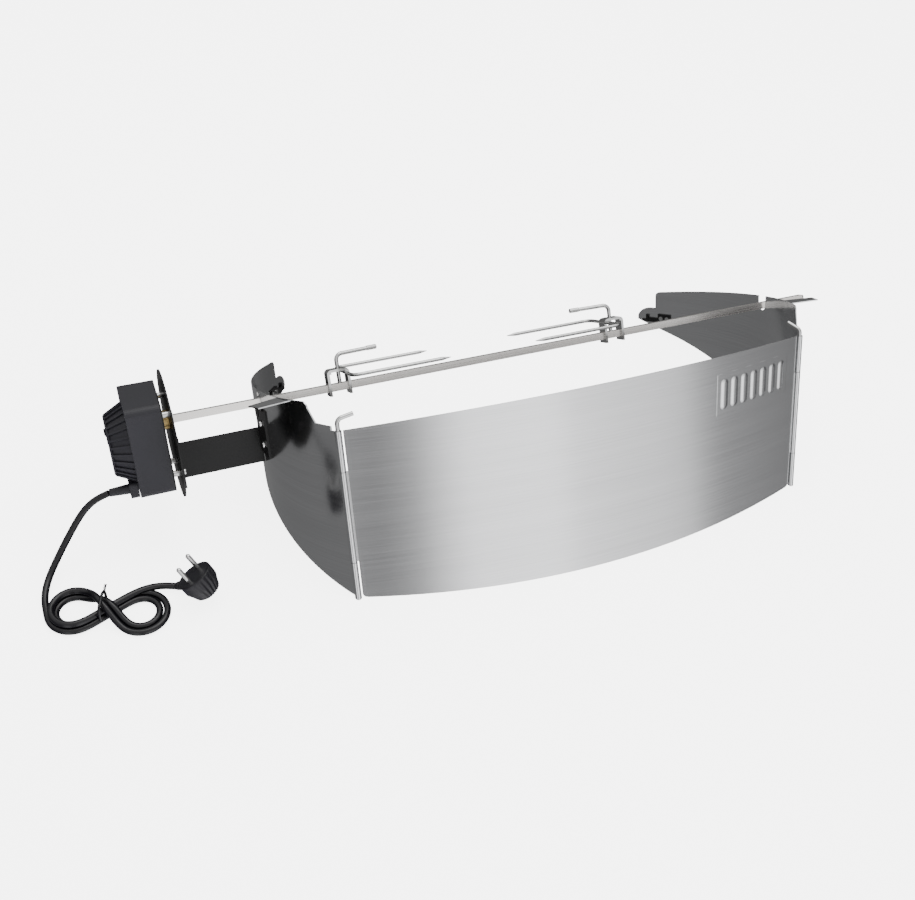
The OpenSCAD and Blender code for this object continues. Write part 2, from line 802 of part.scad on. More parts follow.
module socket_bushes() {
    start = case_side_x - plate - 3;
    color(brass) leaned() difference() {
        rod_x(start, spit_back, spit_height, bush_r, shield_x + plate - start);
        rod_x(start - 1, spit_back, spit_height, socket_r + shaft_gap, 40);
    }
}

module idler_gear() {
    color(brass) leaned() {
        gear(low_gear_x, idler_y, idler_z, wheel_teeth, to_rotor, idler_shaft_r + shaft_gap);
        difference() {
            rod_x(low_gear_x + gear_width, idler_y, idler_z, 3, high_gear_x - low_gear_x
                - gear_width);
            rod_x(low_gear_x, idler_y, idler_z, idler_shaft_r + shaft_gap, 20);
        }
        gear(high_gear_x, idler_y, idler_z, pinion_teeth, to_idler + 180
            + 180 / pinion_teeth, idler_shaft_r + shaft_gap);
    }
}

module idler_shaft() {
    color(bright) leaned()
        rod_x(bridge_x, idler_y, idler_z, idler_shaft_r, case_side_x - plate - bridge_x);
}

module output_stub() {
    color(bright) leaned()
        rod_x(bridge_x, spit_back, spit_height, idler_shaft_r, high_gear_x + gear_width - 1
            - bridge_x);
}

module gear_bridge() {
    color(steel) leaned() difference() {
        union() {
            rod_x(bridge_x, spit_back, motor_height, can_r + 2, plate);
            translate([bridge_x, spit_back - case_depth / 2 + case_wall, motor_height - 14])
                cube([plate, case_depth - 2 * case_wall, 28]);
        }
        rod_x(bridge_x - 1, spit_back, motor_height, rotor_shaft_r + shaft_gap, plate + 2);
        rod_x(bridge_x - 1, spit_back, spit_height, idler_shaft_r, plate + 2);
        rod_x(bridge_x - 1, idler_y, idler_z, idler_shaft_r, plate + 2);
    }
}

module rotor_pinion() {
    color(brass) leaned() gear(low_gear_x, spit_back, motor_height, pinion_teeth,
        to_rotor + 180 + 180 / pinion_teeth, rotor_shaft_r);
}

module rotor_shaft() {
    color(bright) leaned() rod_x(can_x - 1, spit_back, motor_height, rotor_shaft_r,
        low_gear_x + gear_width + 1 - can_x);
}

module rotor() {
    color(steel) leaned() difference() {
        rod_x(can_x + 3, spit_back, motor_height, rotor_r, bridge_x - can_x - 5);
        rod_x(can_x, spit_back, motor_height, rotor_shaft_r, 40);
    }
}

module motor_can() {
    color(steel) leaned() difference() {
        rod_x(can_x, spit_back, motor_height, can_r, bridge_x - can_x);
        rod_x(can_x + 1.2, spit_back, motor_height, can_r - 1.2, 40);
        rod_x(can_x - 1, spit_back, motor_height, rotor_shaft_r + shaft_gap, 5);
    }
}

module motor_coil() {
    color([0.72, 0.42, 0.22]) leaned() difference() {
        rod_x(can_x + 2.5, spit_back, motor_height, can_r - 1.2, bridge_x - can_x - 4);
        rod_x(can_x, spit_back, motor_height, rotor_r + 0.8, 40);
    }
}

// Mains cord ------------------------------------------------------------------------------

// A rounded block on the case with a tapered strain relief
module cable_gland() {
    color(black) leaned() {
        translate([case_x - gland_depth, gland_y, gland_z]) rotate([90, 0, 90])
            linear_extrude(gland_depth) hull() for (y = [-1, 1], z = [-1, 1])
                translate([y, z] * (gland_side / 2 - 4)) circle(r = 4, $fn = 32);
        translate([case_x - gland_depth + 1, gland_y, gland_z]) rotate([0, -90, 0])
            cylinder(r1 = relief_r, r2 = cord_d / 2 + 0.6, h = relief_length + 1);
    }
}

// Where the cord leaves the relief, in the part's own frame
function leaned_point(p) = [p[0] + shift_x, p[1] * cos(lean) + p[2] * sin(lean) + shift_y,
    p[2] * cos(lean) - p[1] * sin(lean)];
cord_exit = leaned_point([case_x - gland_depth - relief_length, gland_y, gland_z]);

// The cord falls from the motor to the ground and runs into the hank
cord_route = [cord_exit, [-452, 6, 58], [-465, 2, 50], [-477, -6, 39], [-489, -16, 28],
    [-500, -27, 18], [-509, -38, 11], [-515, -50, 7], [-518, -62, 5], [-519, -74, 4]];
// The lead runs from the hank to the plug
lead_route = [[-450, -92, 9], [-438, -87, 9], [-426, -83, 8], [-413, -82, 7],
    [-402, -84, 6], [-393, -88, 6]];

// A smooth curve through the points, with some steps on each stretch
function curve_point(p0, p1, p2, p3, t) = 0.5 * (2 * p1 + (p2 - p0) * t
    + (2 * p0 - 5 * p1 + 4 * p2 - p3) * t * t + (3 * p1 - p0 - 3 * p2 + p3) * t * t * t);
function curve(points, steps) = let (last = len(points) - 1) concat(
    [for (i = [0 : last - 1], k = [0 : steps - 1]) curve_point(points[max(i - 1, 0)],
        points[i], points[i + 1], points[min(i + 2, last)], k / steps)], [points[last]]);
function unit(v) = v / norm(v);

module tube(route, d) {
    path = curve(route, 2);
    last = len(path) - 1;
    sides = 12;
    rings = [for (i = [0 : last]) let (
            ahead = unit(path[min(i + 1, last)] - path[max(i - 1, 0)]),
            across = unit(cross(ahead, [0, 0, 1])), up = cross(across, ahead))
        for (k = [0 : sides - 1]) path[i]
            + d / 2 * (across * cos(k * 360 / sides) + up * sin(k * 360 / sides))];
    walls = [for (i = [0 : last - 1], k = [0 : sides - 1]) let (next = (k + 1) % sides)
        [i * sides + k, (i + 1) * sides + k, (i + 1) * sides + next, i * sides + next]];
    polyhedron(rings, concat([[for (k = [0 : sides - 1]) k]], walls,
        [[for (k = [sides - 1 : -1 : 0]) last * sides + k]]));
}

module power_cord() {
    color(black) tube(cord_route, cord_d);
}

module cord_lead() {
    color(black) tube(lead_route, cord_d);
}

// The hank's two round ends and its waist
hank_left = [-493, -86];
hank_right = [-431, -108];
hank_lift = 0.8;
hank_high = 18;

module cord_hank() {
    color(black) translate([0, 0, hank_lift]) linear_extrude(hank_high) {
        translate(hank_left) circle(r = 29);
        translate(hank_right) circle(r = 29);
        hull() {
            translate(hank_left) circle(r = 14, $fn = 32);
            translate(hank_right) circle(r = 14, $fn = 32);
        }
    }
}

// A thin twist tie around the waist
module cord_tie() {
    along = hank_right - hank_left;
    half = 15.5;
    color(black) translate(hank_left + along / 2)
        rotate(atan2(along[1], along[0])) difference() {
            translate([-1.2, -half - 0.8, 0]) cube([2.4, 2 * half + 1.6,
                hank_high + 2 * hank_lift]);
            translate([-5, -half, hank_lift]) cube([10, 2 * half, hank_high]);
        }
}

// An angled plug that lies on its back: its pins point along its own z axis
plug_place = [-376, -101, 33];
plug_turn = 52;
plug_tilt = 35;
plug_deep = 26;
plug_pin_d = 4.8;
pin_apart = 19;

module on_plug() {
    translate(plug_place) rotate(plug_turn) rotate([-plug_tilt, 0, 0]) children();
}

module plug_body() {
    color(black) on_plug() {
        difference() {
            union() {
                translate([0, 0, -14]) cylinder(d = plug_d, h = 14);
                translate([0, 0, -plug_deep]) cylinder(d1 = plug_d - 10, d2 = plug_d,
                    h = plug_deep - 14);
            }
            for (side = [-1, 1]) translate([side * pin_apart / 2, 0, -8])
                cylinder(d = plug_pin_d - 0.8, h = 9);
        }
        translate([0, 10, -10]) rotate([-90, 0, 0])
            cylinder(r1 = 8, r2 = cord_d / 2 + 0.8, h = 22.5);
    }
}

module plug_pins() {
    color(bright) on_plug() for (side = [-1, 1]) translate([side * pin_apart / 2, 0, 0]) {
        translate([0, 0, -8]) cylinder(d = plug_pin_d - 0.8, h = 9);
        translate([0, 0, 0.5]) cylinder(d = plug_pin_d, h = 17);
        translate([0, 0, 17.5]) cylinder(d1 = plug_pin_d, d2 = plug_pin_d / 2, h = 1.5);
    }
}

// Nodes ------------------------------------------------------------------------------------

front_panel();
left_wing();
right_wing();
left_hinge_pin();
right_hinge_pin();
left_rear_hook();
right_rear_hook();
left_hook_rivets();
right_hook_rivets();
spit_rod();
left_fork_clamp();
right_fork_clamp();
left_fork_prongs();
right_fork_prongs();
left_fork_screw();
right_fork_screw();
motor_case();
case_cover();
motor_cap();
heat_shield();
shield_spacers();
cover_screws();
motor_bracket();
bracket_screws();
drive_socket();
socket_bushes();
output_gear();
idler_gear();
idler_shaft();
output_stub();
gear_bridge();
rotor_pinion();
rotor();
rotor_shaft();
motor_can();
motor_coil();
rocker_switch();
switch_pin();
cable_gland();
power_cord();
cord_hank();
cord_tie();
cord_lead();
plug_body();
plug_pins();
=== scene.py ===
"""Looks of the barbecue rotisserie: shroud, spit, forks, motor and cord, in metres."""
import json
import math

import bpy
import numpy as np
from mathutils import Matrix, Vector


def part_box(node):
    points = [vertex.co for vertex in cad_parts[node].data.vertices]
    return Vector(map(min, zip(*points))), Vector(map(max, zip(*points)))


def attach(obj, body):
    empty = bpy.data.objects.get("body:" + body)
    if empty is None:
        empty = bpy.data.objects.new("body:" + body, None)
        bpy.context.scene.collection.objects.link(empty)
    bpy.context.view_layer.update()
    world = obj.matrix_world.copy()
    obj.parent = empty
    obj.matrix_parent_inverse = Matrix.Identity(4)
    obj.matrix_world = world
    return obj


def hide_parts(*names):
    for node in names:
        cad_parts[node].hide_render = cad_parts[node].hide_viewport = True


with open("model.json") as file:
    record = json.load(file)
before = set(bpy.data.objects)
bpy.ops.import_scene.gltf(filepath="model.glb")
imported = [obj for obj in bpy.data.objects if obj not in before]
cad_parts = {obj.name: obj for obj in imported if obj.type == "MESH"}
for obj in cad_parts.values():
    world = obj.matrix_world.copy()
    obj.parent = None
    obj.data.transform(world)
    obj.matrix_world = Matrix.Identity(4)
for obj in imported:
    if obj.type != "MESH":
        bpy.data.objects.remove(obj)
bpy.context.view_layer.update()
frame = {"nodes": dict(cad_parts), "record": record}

MM = 0.001
LEAN = math.radians(22.4)
SPIT_TURN = math.radians(10)


# Camera ------------------------------------------------------------------------------------

def aim(obj, place, right, up):
    """Puts obj at place with its own x and y axes along right and up."""
    right = Vector(right).normalized()
    back = right.cross(Vector(up)).normalized()
    turn = Matrix((right, back.cross(right), back)).transposed()
    obj.matrix_world = Matrix.Translation(place) @ turn.to_4x4()


camera = bpy.data.objects.new("camera", bpy.data.cameras.new("camera"))
camera.data.lens = 40.16
camera.data.sensor_width = 36
bpy.context.scene.collection.objects.link(camera)
bpy.context.scene.camera = camera
aim(camera, (-0.43105, -0.77615, 0.8421), (0.9255, -0.3707, 0.0777), (0.205, 0.6628, 0.7202))


# Frames ------------------------------------------------------------------------------------

def middle_of(node):
    """Middle of a node's box."""
    low, high = (np.array(corner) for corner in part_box(node))
    return (low + high) / 2


SPIT_PLACE = middle_of("spit_rod")
UP = np.array([0, math.sin(LEAN), math.cos(LEAN)])        # along the hinge pins
BACK = np.array([0, math.cos(LEAN), -math.sin(LEAN)])     # square to them, towards the rear
RIGHT = np.array([1.0, 0, 0])


# Mesh making -------------------------------------------------------------------------------

def add_mesh(name, points, faces, smooth=True):
    mesh = bpy.data.meshes.new(name)
    mesh.from_pydata([tuple(p) for p in points], [], [tuple(f) for f in faces])
    mesh.polygons.foreach_set("use_smooth", [smooth] * len(mesh.polygons))
    obj = bpy.data.objects.new(name, mesh)
    bpy.context.scene.collection.objects.link(obj)
    return obj


def grid_faces(rows, columns, wrap=False):
    """Quads between rows of points; wrap joins each row's end to its start."""
    last = columns if wrap else columns - 1
    return [(i * columns + j, i * columns + (j + 1) % columns,
             (i + 1) * columns + (j + 1) % columns, (i + 1) * columns + j)
            for i in range(rows - 1) for j in range(last)]


def place(points, origin, x_axis, y_axis):
    """Moves points into a frame whose z axis is square to the two axes given."""
    x_axis, y_axis = (np.array(v) / np.linalg.norm(v) for v in (x_axis, y_axis))
    return np.array(origin) + np.array(points) @ np.array([x_axis, y_axis,
                                                           np.cross(x_axis, y_axis)])


def swept_rings(rings):
    """Faces of a closed skin over rings of equal count, capped at both ends."""
    rings = np.array(rings)
    rows, columns = rings.shape[:2]
    faces = grid_faces(rows, columns, wrap=True)
    faces.append(tuple(reversed(range(columns))))
    faces.append(tuple(range((rows - 1) * columns, rows * columns)))
    return rings.reshape(-1, 3), faces


def join(parts):
    """One list of points and one of faces from several."""
    points, faces = [], []
    for more, loops in parts:
        faces += [tuple(i + len(points) for i in loop) for loop in loops]
        points += [tuple(p) for p in more]
    return points, faces


# Cord --------------------------------------------------------------------------------------

CORD_D = 0.007
CORD_ROUTE = [(-437.15, 6.99, 62.0), (-452, 6, 58), (-465, 2, 50), (-477, -6, 39), (-489, -16, 28),
              (-500, -27, 18), (-509, -38, 11), (-515, -50, 7), (-518, -62, 5), (-519, -74, 4)]
LEAD_ROUTE = [(-438, -87, 9), (-426, -83, 8), (-413, -82, 7), (-402, -84, 6), (-393, -88, 6)]
HANK_LEFT = np.array([-493, -86])       # middles of the hank's two lobes
HANK_RIGHT = np.array([-431, -108])
LOBE_R = 22
STRAND_SHIFTS = [-3.5, 3.5, 0.0]        # how far each turn runs beside the middle line
STRAND_HEIGHTS = [3.7, 3.7, 9.8]
CROSSING_RISE = 13.2                    # height of the hump where strands pass over others
PATH_STEP = 3.0
CORD_SIDES = 20


def smooth_curve(points, steps):
    """A Catmull-Rom curve: p(t) = (2 b + (c - a) t + (2 a - 5 b + 4 c - d) t^2
    + (3 b - a - 3 c + d) t^3) / 2 between b and c."""
    p = np.array(points, float)
    p = np.vstack([p[0], p, p[-1]])
    out = []
    for a, b, c, d in zip(p[:-3], p[1:-2], p[2:-1], p[3:]):
        for t in np.arange(steps) / steps:
            out.append(0.5 * (2 * b + (c - a) * t + (2 * a - 5 * b + 4 * c - d) * t ** 2
                              + (3 * b - a - 3 * c + d) * t ** 3))
    return np.array(out + [p[-1]])


def ease(t):
    """0 before 0, 1 after 1, and 3 t^2 - 2 t^3 between."""
    t = np.clip(t, 0, 1)
    return t * t * (3 - 2 * t)


def hank_path():
    """Two and a half turns of a figure of eight: two arcs of LOBE_R joined by crossing tangents.

    The strands that head back to the left pass over the others in a hump of
    CROSSING_RISE sin^2(pi (0.8 share + 0.1)), where share runs from 0 to 1 along the strand."""
    middle = (HANK_LEFT + HANK_RIGHT) / 2
    along = HANK_RIGHT - HANK_LEFT
    gap = np.linalg.norm(along)
    along = along / gap
    across = np.array([-along[1], along[0]])
    cone = np.arcsin(2 * LOBE_R / gap)
    wrap = LOBE_R * (np.pi + 2 * cone)

    def lobe(centre, start, turn, length):
        """Points and leftward normals on an arc that starts at an angle and turns one way."""
        s = np.arange(0, length, PATH_STEP)
        a = start + turn * s / LOBE_R
        outward = np.outer(np.cos(a), along) + np.outer(np.sin(a), across)
        return centre + LOBE_R * outward, -turn * outward

    def run(begin, end):
        """Points and leftward normals on a straight strand."""
        s = np.arange(0, 1, PATH_STEP / np.linalg.norm(end - begin))[:, None]
        heading = (end - begin) / np.linalg.norm(end - begin)
        normal = np.array([-heading[1], heading[0]])
        return begin + s * (end - begin), np.repeat([normal], len(s), axis=0)

    def rim(centre, angle):
        """A point on a lobe's circle."""
        return centre + LOBE_R * (np.cos(angle) * along + np.sin(angle) * across)

    open_angle = np.pi / 2 - cone
    left_top, left_low = rim(HANK_LEFT, open_angle), rim(HANK_LEFT, -open_angle)
    right_top, right_low = (rim(HANK_RIGHT, np.pi - open_angle),
                            rim(HANK_RIGHT, np.pi + open_angle))
    half_wrap = LOBE_R * (np.pi - open_angle)
    pieces = []
    for turn in range(3):
        if turn == 0:
            pieces.append(("lobe", turn, *lobe(HANK_LEFT, np.pi, 1, half_wrap)))
        else:
            pieces.append(("lobe", turn, *lobe(HANK_LEFT, open_angle, 1, wrap)))
        pieces.append(("under", turn, *run(left_low, right_top)))
        if turn < 2:
            pieces.append(("lobe", turn, *lobe(HANK_RIGHT, np.pi - open_angle, -1, wrap)))
            pieces.append(("over", turn, *run(right_low, left_top)))
    points = []
    for kind, turn, flat, normal in pieces:
        share = np.linspace(0, 1, len(flat), endpoint=False)
        change = ease(share * 2 - 1) if kind == "over" else np.zeros(len(flat))
        after = min(turn + 1, 2)
        offset = STRAND_SHIFTS[turn] + (STRAND_SHIFTS[after] - STRAND_SHIFTS[turn]) * change
        lift = ease(share * 2.2 - 0.7) if kind == "over" else change
        height = STRAND_HEIGHTS[turn] + (STRAND_HEIGHTS[after] - STRAND_HEIGHTS[turn]) * lift
        if kind == "over":
            height = height + CROSSING_RISE * np.sin(np.pi * (share * 0.8 + 0.1)) ** 2
        points.append(np.column_stack([flat + normal * offset[:, None], height]))
    return np.vstack(points)[:-4]       # the last strand stops short, to meet the plug's lead


def relax(path, rounds, fixed):
    """Evens a path out by averaging each point with its neighbours."""
    path = path.copy()
    for _ in range(rounds):
        path[fixed:-fixed] = (path[fixed - 1:-fixed - 1] + 2 * path[fixed:-fixed]
                              + path[fixed + 1:len(path) - fixed + 1]) / 4
    return path


def even(path, step):
    """The same path with its points a step apart."""
    ahead = np.concatenate([[0], np.cumsum(np.linalg.norm(np.diff(path, axis=0), axis=1))])
    s = np.linspace(0, ahead[-1], int(ahead[-1] / step))
    return np.column_stack([np.interp(s, ahead, path[:, k]) for k in range(3)])


def add_cord():
    """The cord's skin, its length and the line of its middle, from the gland to the plug."""
    drop = smooth_curve(CORD_ROUTE, 6)[:-1]
    lead = smooth_curve(LEAD_ROUTE, 6)
    path = even(np.vstack([drop, hank_path(), lead]), PATH_STEP)
    path = relax(path, 12, 1)
    path[:, 2] = np.maximum(path[:, 2], CORD_D / MM / 2)
    ahead = np.gradient(path, axis=0)
    ahead /= np.linalg.norm(ahead, axis=1)[:, None]
    across = np.cross(ahead, (0, 0, 1))
    across /= np.linalg.norm(across, axis=1)[:, None]
    below = np.cross(ahead, across)
    turn = np.linspace(0, 2 * np.pi, CORD_SIDES, endpoint=False)[:, None]
    rings = [at + CORD_D / MM / 2 * (np.cos(turn) * u + np.sin(turn) * v)
             for at, u, v in zip(path, across, below)]
    points, faces = swept_rings(rings)
    obj = add_mesh("mains_cord", points * MM, faces)
    length = np.sum(np.linalg.norm(np.diff(path, axis=0), axis=1)) * MM
    return obj, float(length), path * MM


cord, cord_length, cord_path = add_cord()
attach(cord, "shroud")
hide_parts("power_cord", "cord_hank", "cord_lead")


# Plug and tie ------------------------------------------------------------------------------

PLUG_PLACE = (-0.376, -0.101, 0.033)    # the middle of the plug's flat face
PLUG_R = 18.4
PLUG_TURN = math.radians(52)
PLUG_TILT = math.radians(35)
PLUG_X = (math.cos(PLUG_TURN), math.sin(PLUG_TURN), 0)
PLUG_Y = (-math.sin(PLUG_TURN) * math.cos(PLUG_TILT), math.cos(PLUG_TURN) * math.cos(PLUG_TILT),
          -math.sin(PLUG_TILT))


def plug_shell():
    """The plug's body, as rings from its back up to its flat face.

    r(a) = PLUG_R share (1 - ridge - flat). ridge is a row of finger grips on the side away from
    the cord, and flat a flat down each side, as on any round plug."""
    angle = np.linspace(0, 2 * np.pi, 144, endpoint=False)
    away = np.clip(-np.sin(angle) - 0.1, 0, 1)
    rings = []
    for depth, share in [(25.6, 0.50), (25.6, 0.62), (24.6, 0.70), (22, 0.76), (18, 0.84),
                         (14.5, 0.93), (12, 0.99), (3, 1.0), (0.8, 1.0), (0.1, 0.975), (0, 0.93),
                         (0, 0.5)]:
        ridge = 0.05 * away * (1 - np.cos(angle * 22)) * np.clip(depth / 6, 0, 1)
        flat = 0.05 * np.clip(np.abs(np.cos(angle)) - 0.9, 0, 1) * 10 * np.clip(depth - 2, 0, 1)
        radius = PLUG_R * share * (1 - ridge - flat)
        rings.append(np.column_stack([radius * np.cos(angle), radius * np.sin(angle),
                                      np.full(len(angle), -depth)]))
    return swept_rings(rings)


def plug_relief():
    """A tapered sleeve along +y with ring grooves cut into it, r = 7.8 falling to 4.2."""
    along = np.linspace(8, 32.3, 90)
    radius = 7.8 - 3.6 * (along - 8) / 24.3
    groove = 0.9 * (np.sin((along - 17) * np.pi / 1.55) > 0.1) * (along > 17) * (along < 30)
    sides = np.linspace(0, 2 * np.pi, 32, endpoint=False)
    rings = [np.column_stack([(r - g) * np.cos(sides), np.full(32, s), -10 - (r - g)
                              * np.sin(sides)]) for s, r, g in zip(along, radius, groove)]
    return swept_rings(rings)


def add_plug():
    """The plug's body and its sleeve as one piece; its pins are a node of their own."""
    points, faces = join([plug_shell(), plug_relief()])
    body = add_mesh("plug_shell", place(np.array(points) * MM, PLUG_PLACE, PLUG_X, PLUG_Y), faces)
    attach(body, "shroud")
    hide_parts("plug_body")
    return body


plug = add_plug()

TIE_WIDE = 13.5         # half the band's width, and half its height, in mm
TIE_HIGH = 12.0
TIE_MIDDLE = 12.5
TIE_SET_BACK = 4        # how far the band is from the crossing's middle
TIE_HALF = 1.4          # half the band's breadth
TIE_THICK = 0.5
TIE_WIRE_R = 0.7


def add_tie():
    """A flat twist tie: a band around the hank's crossing, and its two twisted ends."""
    middle = np.append((HANK_LEFT + HANK_RIGHT) / 2, 0)
    along = np.append(HANK_RIGHT - HANK_LEFT, 0) / np.linalg.norm(HANK_RIGHT - HANK_LEFT)
    across = np.cross((0, 0, 1), along)
    turn = np.linspace(0, 2 * np.pi, 64, endpoint=False)
    # a rounded band: x = TIE_WIDE |cos|^0.7, z = TIE_HIGH |sin|^0.7, each with its sign
    wide = TIE_WIDE * np.sign(np.cos(turn)) * np.abs(np.cos(turn)) ** 0.7
    high = 0.1 + TIE_HIGH * np.sign(np.sin(turn)) * np.abs(np.sin(turn)) ** 0.7
    rings = []
    for side, out in ((1, 0), (-1, 0), (-1, TIE_THICK), (1, TIE_THICK), (1, 0)):
        grow = 1 + out / TIE_MIDDLE
        rings.append(middle + (side * TIE_HALF - TIE_SET_BACK) * along
                     + np.outer(wide * grow, across)
                     + np.outer(high * grow + TIE_MIDDLE, (0, 0, 1)))
    parts = [(np.array(rings).reshape(-1, 3), grid_faces(5, len(turn), wrap=True))]
    s = np.linspace(0, 1, 24)
    for phase in (0, np.pi):
        twist = phase + s * 4 * np.pi
        path = (middle - TIE_SET_BACK * along + np.outer(11 + 9 * s, across)
                + np.outer(20 + 2 * np.sin(s * 2), (0, 0, 1))
                + 0.9 * (np.outer(np.cos(twist), along) + np.outer(np.sin(twist), (0, 0, 1))))
        tube = []
        around = np.linspace(0, 2 * np.pi, 8, endpoint=False)
        for point in path:
            tube.append(point + TIE_WIRE_R * (np.outer(np.cos(around), (0, 0, 1))
                                              + np.outer(np.sin(around), along)))
        parts.append(swept_rings(tube))
    points, faces = join(parts)
    tie = add_mesh("twist_tie", np.array(points) * MM, faces)
    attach(tie, "shroud")
    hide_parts("cord_tie")
    return tie


tie = add_tie()


# Small detail ------------------------------------------------------------------------------

H_AXIS = np.array([0, math.sin(LEAN + SPIT_TURN), math.cos(LEAN + SPIT_TURN)])
W_AXIS = np.array([0, math.cos(LEAN + SPIT_TURN), -math.sin(LEAN + SPIT_TURN)])
SHIFT_X = 0.04885       # the panel's middle, along x
PANEL_Y = -0.154846     # the hinge lines' y at the ground
PANEL_R = 1.00734       # radius of the panel's bow
PANEL_BOW = 0.037       # how far the bow stands before the hinge lines


def spit_frame(x, h, w):
    """A point at x along the spit, h above its axis and w behind it, as the forks see it."""
    return np.array([x, SPIT_PLACE[1], SPIT_PLACE[2]]) + h * H_AXIS + w * W_AXIS


def knurl(name, start, end, radius, body):
    """A knurled sleeve: r = radius (0.985 + 0.05 |cos 10 (a + s / 2 R)| |cos 10 (a - s / 2 R)|)."""
    start, end = np.array(start), np.array(end)
    axis = (end - start) / np.linalg.norm(end - start)
    side = np.cross(axis, (0, 0, 1))
    side /= np.linalg.norm(side)
    length = np.linalg.norm(end - start)
    a = np.linspace(0, 2 * np.pi, 120, endpoint=False)
    profile = [(0, 0.3), (0, 0.86), (0.0006, 1)]
    profile += [(s, 1) for s in np.linspace(0.0009, length - 0.0009, 60)]
    profile += [(length - 0.0006, 1), (length, 0.86), (length, 0.3)]
    rings = []
    for s, share in profile:
        lead = s / radius
        pattern = np.abs(np.cos(10 * (a + 0.5 * lead))) * np.abs(np.cos(10 * (a - 0.5 * lead)))
        r = radius * share * (0.985 + 0.05 * pattern)
        rings.append(start + s * axis + np.outer(r * np.cos(a), side)
                     + np.outer(r * np.sin(a), np.cross(axis, side)))
    obj = add_mesh(name, *swept_rings(rings))
    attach(obj, body)
    return obj


KNURL_R = 0.00262
KNURL_START, KNURL_END = 0.0369, 0.0484     # along the handle, from the screw's axis
HANDLE_RISE = 0.035                         # the handle's height above the spit's axis
HANDLE_SWING = math.radians(8)
STEM_FROM_FORK = 0.014


def grip_ends(fork_x, inward):
    """Where the grip starts and ends on the handle of a fork that stands at fork_x."""
    stem = fork_x + SHIFT_X + inward * STEM_FROM_FORK
    out = np.array([inward * math.cos(HANDLE_SWING), 0, 0])
    rear = math.sin(HANDLE_SWING) * W_AXIS
    top = spit_frame(stem, HANDLE_RISE, 0)
    return top + KNURL_START * (out + rear), top + KNURL_END * (out + rear)


knurls = [knurl("left_knurl", *grip_ends(-0.245, 1), KNURL_R, "left_screw"),
          knurl("right_knurl", *grip_ends(0.117, -1), KNURL_R, "right_screw")]


def panel_point(s, z):
    """A point on the front panel's outer face: s along its arc from the middle, z up its height."""
    angle = s / PANEL_R
    x = PANEL_R * np.sin(angle)
    y = PANEL_R - PANEL_BOW - PANEL_R * np.cos(angle)
    base = np.array([SHIFT_X, PANEL_Y, 0])
    return base + x[..., None] * RIGHT + y[..., None] * BACK + z[..., None] * UP


def panel_normal(s):
    """Which way the panel's outer face looks at s."""
    angle = s / PANEL_R
    return np.sin(angle)[..., None] * RIGHT - np.cos(angle)[..., None] * BACK


BARS = 7
BAR_FIRST, BAR_STEP = 0.154, 0.0148         # along the panel's arc, from its middle
BAR_Z, BAR_HALF = 0.146, 0.0125
PATCH_S, PATCH_Z = (0.143, 0.254), (0.122, 0.170)
BAR_RISE = 0.0011
SKIN_LIFT, SKIN_DEPTH = 0.00002, 0.0003


def add_pressed_bars():
    """A pressed row of plain round-ended bars near the panel's upper right corner.

    Each bar is a ridge: BAR_RISE times ease((5.4 mm - distance from its middle line) / 4.2 mm).
    The skin is closed by a back SKIN_DEPTH behind the sheet's face."""
    s, z = np.meshgrid(np.linspace(*PATCH_S, 200), np.linspace(*PATCH_Z, 88))
    height = np.zeros_like(s)
    reach = np.clip(np.abs(z - BAR_Z) - BAR_HALF, 0, None)
    for i in range(BARS):
        distance = np.hypot(s - BAR_FIRST - i * BAR_STEP, reach)
        height = np.maximum(height, ease((0.0054 - distance) / 0.0042))
    edge = ease(np.minimum.reduce([s - PATCH_S[0], PATCH_S[1] - s,
                                   z - PATCH_Z[0], PATCH_Z[1] - z]) / 0.001)
    lift = SKIN_LIFT + BAR_RISE * height * edge - 0.00008 * (1 - edge)
    rows, columns = s.shape
    count = rows * columns
    front = (panel_point(s, z) + panel_normal(s) * lift[..., None]).reshape(-1, 3)
    behind = (panel_point(s, z) - panel_normal(s) * SKIN_DEPTH).reshape(-1, 3)
    faces = grid_faces(rows, columns)
    faces += [tuple(count + i for i in reversed(face)) for face in faces]
    rim = (list(range(0, columns)) + list(range(2 * columns - 1, count, columns))
           + list(range(count - 2, count - columns - 1, -1))
           + list(range(count - 2 * columns, 0, -columns)))
    faces += [(b, a, count + a, count + b) for a, b in zip(rim, rim[1:] + rim[:1])]
    obj = add_mesh("pressed_bars", np.vstack([front, behind]), faces)
    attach(obj, "shroud")
    return obj


pressed_bars = add_pressed_bars()


# Materials ---------------------------------------------------------------------------------

class Socket:
    """A shader socket that adds and multiplies as a number does."""

    def __init__(self, tree, socket):
        self.tree, self.socket = tree, socket

    def _math(self, kind, other):
        return self.tree.make("ShaderNodeMath", {0: self, 1: other}, operation=kind)

    def __add__(self, other):
        return self._math("ADD", other)

    def __mul__(self, other):
        return self._math("MULTIPLY", other)

    __radd__ = __add__
    __rmul__ = __mul__


